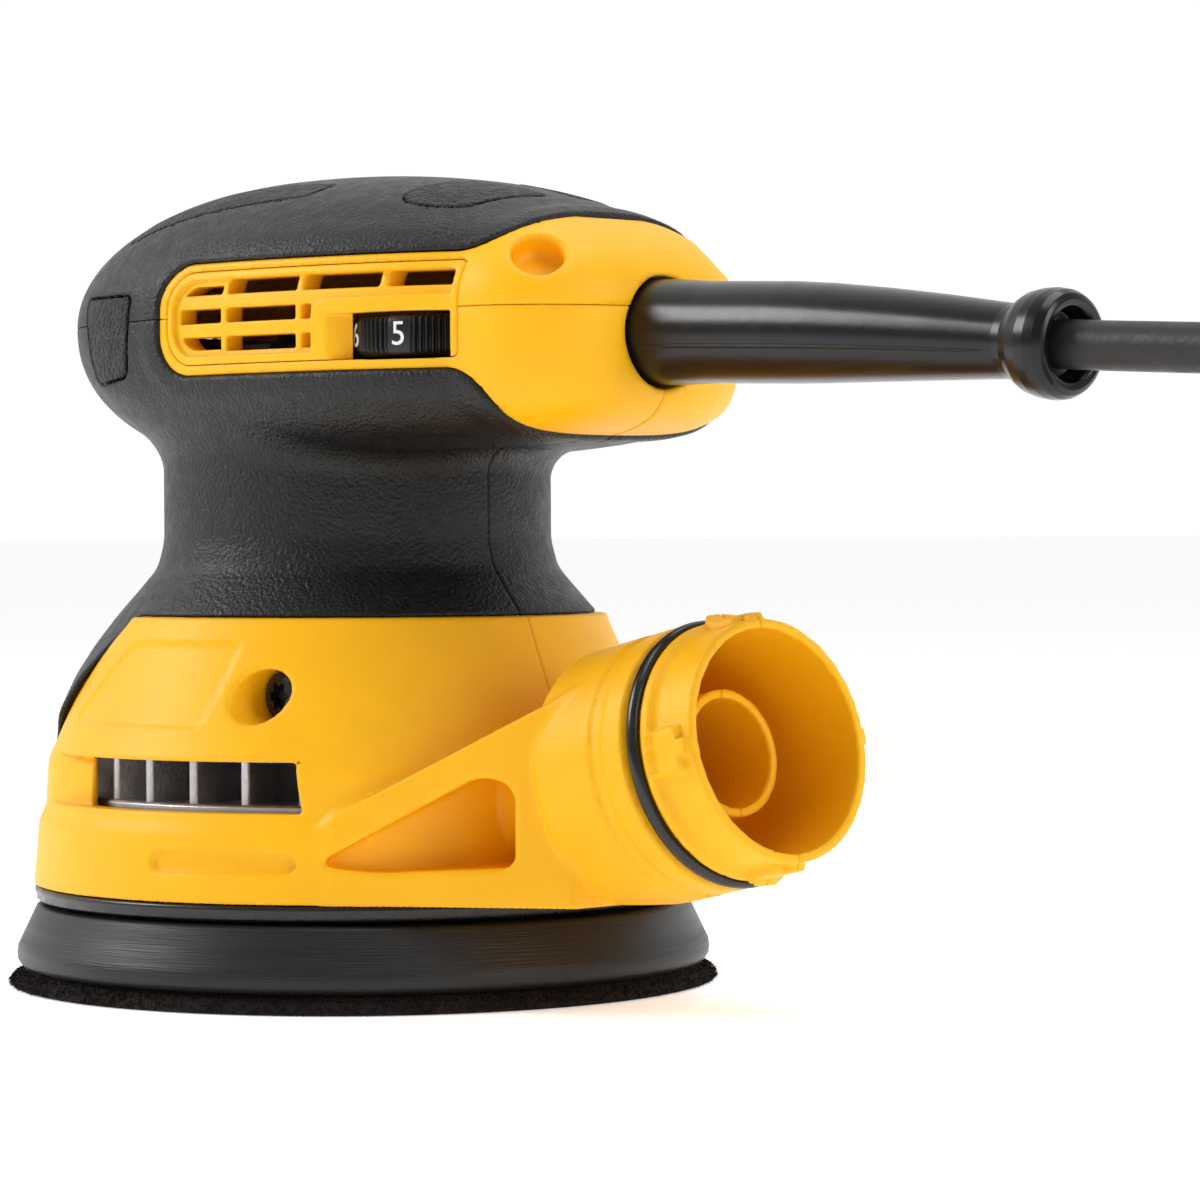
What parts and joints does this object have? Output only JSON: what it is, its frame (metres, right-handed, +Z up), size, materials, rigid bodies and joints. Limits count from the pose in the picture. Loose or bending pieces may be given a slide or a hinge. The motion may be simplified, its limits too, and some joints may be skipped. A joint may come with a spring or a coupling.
{
  "type": "orbital sander",
  "caption": "Palm-grip random orbital sander with vented housing, round sanding pad, rear dust outlet, speed dial and mains lead.",
  "frame": {"origin": "on the motor axis, in the plane of the sanding face", "axes": "+Z up along the motor axis, +X to the rear where the lead and the dust outlet leave, -Y the left side with the speed dial"},
  "size_m": [0.4116, 0.125, 0.1412],
  "materials": {
    "yellow_plastic": "fine moulded grain",
    "rubber_skin": "soft matte, fine stipple",
    "grip_texture": "coarse stipple",
    "seal_rubber": "smooth",
    "brake_rubber": "smooth, slight gloss",
    "bearing_steel": "ground",
    "steel": "zinc plated",
    "cast_alloy": "die cast",
    "core_iron": "varnished sheet stack",
    "copper": "enamelled copper wire",
    "brush_carbon": "graphite",
    "holder_plastic": "phenolic",
    "carrier_plastic": "glass filled",
    "module_resin": "potted",
    "dial_plastic": "satin",
    "rocker_rubber": "matte",
    "switch_plastic": "matte",
    "pad_plastic": "satin, turned",
    "hook_fabric": "hook pile",
    "screw_black": "black oxide",
    "cord_rubber": "matte",
    "relief_rubber": "semi gloss",
    "wire_insulation": "smooth",
    "tie_plastic": "smooth",
    "plug_brass": "bright"
  },
  "bodies": {
    "housing": {"housing_left": "yellow_plastic", "housing_right": "yellow_plastic", "top_cover": "yellow_plastic", "overmold_left": "rubber_skin", "overmold_right": "rubber_skin", "top_grip": "rubber_skin", "grip_pads": "grip_texture", "vent_panel_left": "yellow_plastic", "vent_panel_right": "yellow_plastic", "outlet_seal": "seal_rubber", "brake_ring": "brake_rubber", "bearing_plate": "cast_alloy", "lower_bearing": "bearing_steel", "upper_bearing": "bearing_steel", "bearing_carrier": "carrier_plastic", "field_laminations": "core_iron", "field_windings": "copper", "brush_holders": "holder_plastic", "brush_spring_left": "steel", "brush_spring_right": "steel", "speed_module": "module_resin", "switch_module": "switch_plastic", "housing_screws": "screw_black", "cover_screws": "screw_black", "plate_screws": "steel", "strain_relief": "relief_rubber", "cord_clamp": "carrier_plastic", "clamp_screws": "steel", "lead_wires": "wire_insulation", "cord_lead": "cord_rubber", "cord_coil": "cord_rubber", "cord_tail": "cord_rubber", "cord_tie": "tie_plastic", "plug_body": "cord_rubber", "plug_blades": "plug_brass"},
    "armature": {"armature_shaft": "steel", "armature_laminations": "core_iron", "armature_windings": "copper", "commutator": "copper", "inner_races": "bearing_steel", "fan": "cast_alloy", "counterweight": "steel", "pad_bearing": "bearing_steel"},
    "pad": {"pad_spindle": "steel", "backing_pad": "pad_plastic", "hook_face": "hook_fabric", "pad_screws": "steel"},
    "speed_dial": {"speed_dial": "dial_plastic"},
    "power_rocker": {"switch_rocker": "rocker_rubber"},
    "brush_left_body": {"brush_left": "brush_carbon"},
    "brush_right_body": {"brush_right": "brush_carbon"}
  },
  "joints": [
    {"name": "armature_spin", "type": "hinge", "parent": "housing", "child": "armature", "pos_m": [0, 0, 0.07], "axis": [0, 0, 1], "continuous": true},
    {"name": "pad_spin", "type": "hinge", "parent": "armature", "child": "pad", "pos_m": [0.0012, 0, 0.01], "axis": [0, 0, 1], "continuous": true},
    {"name": "speed_dial_turn", "type": "hinge", "parent": "housing", "child": "speed_dial", "pos_m": [0.043, -0.0184, 0.1112], "axis": [0, 0, 1], "range_deg": [-160, 40]},
    {"name": "power_rocker_tip", "type": "hinge", "parent": "housing", "child": "power_rocker", "pos_m": [-0.0464, 0, 0.108], "axis": [0, 1, 0], "range_deg": [0, 14]},
    {"name": "brush_left_slide", "type": "slide", "parent": "housing", "child": "brush_left_body", "axis": [0, -1, 0], "range_m": [0, 0.003], "stiffness_N_per_m": 300, "springref_m": -0.012, "deforming": ["brush_spring_left"]},
    {"name": "brush_right_slide", "type": "slide", "parent": "housing", "child": "brush_right_body", "axis": [0, 1, 0], "range_m": [0, 0.003], "stiffness_N_per_m": 300, "springref_m": -0.012, "deforming": ["brush_spring_right"]}
  ]
}
